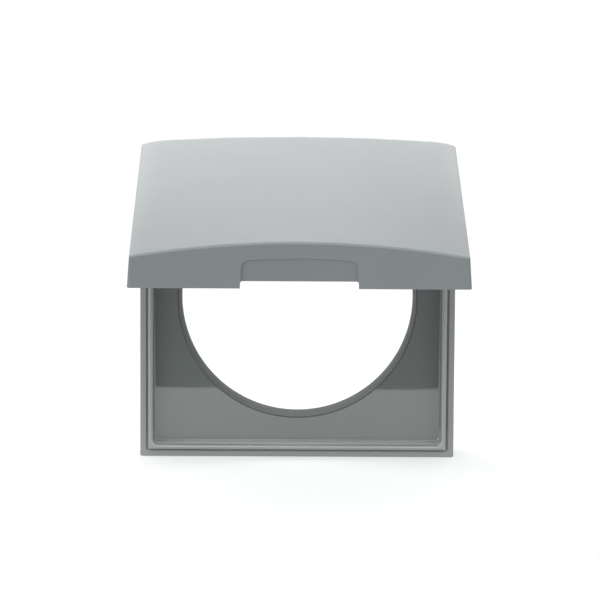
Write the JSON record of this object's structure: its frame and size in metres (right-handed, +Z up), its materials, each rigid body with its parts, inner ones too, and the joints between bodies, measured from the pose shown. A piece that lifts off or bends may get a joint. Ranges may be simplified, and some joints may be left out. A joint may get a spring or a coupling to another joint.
{
  "type": "hinged-lid surround",
  "caption": "Square wall-mount surround with a raised-lip tray, a round opening for a wiring insert and a hinged flap lid held open.",
  "frame": {"origin": "centre of the round opening on the rear face, which lies on the wall", "axes": "+Z up to the hinge side, front faces -Y, +X to the viewer's right, +Y into the wall"},
  "size_m": [0.0596, 0.0653, 0.0612],
  "materials": {
    "frame_plastic": "satin moulded",
    "tray_plastic": "semi-gloss moulded",
    "ring_plastic": "satin moulded",
    "seal_rubber": "soft matt",
    "lid_plastic": "satin moulded",
    "pin_steel": "drawn wire",
    "bush_plastic": "plain"
  },
  "bodies": {
    "surround": {"base_frame": "frame_plastic", "tray_plate": "tray_plastic", "insert_ring": "ring_plastic", "wall_seal": "seal_rubber", "hinge_bush_left": "bush_plastic", "hinge_bush_right": "bush_plastic"},
    "lid": {"lid": "lid_plastic", "hinge_pin_left": "pin_steel", "hinge_pin_right": "pin_steel"}
  },
  "joints": [
    {"name": "lid_hinge", "type": "hinge", "parent": "surround", "child": "lid", "pos_m": [0, -0.0106, 0.02575], "axis": [-1, 0, 0], "range_deg": [-74.8, 17]}
  ]
}
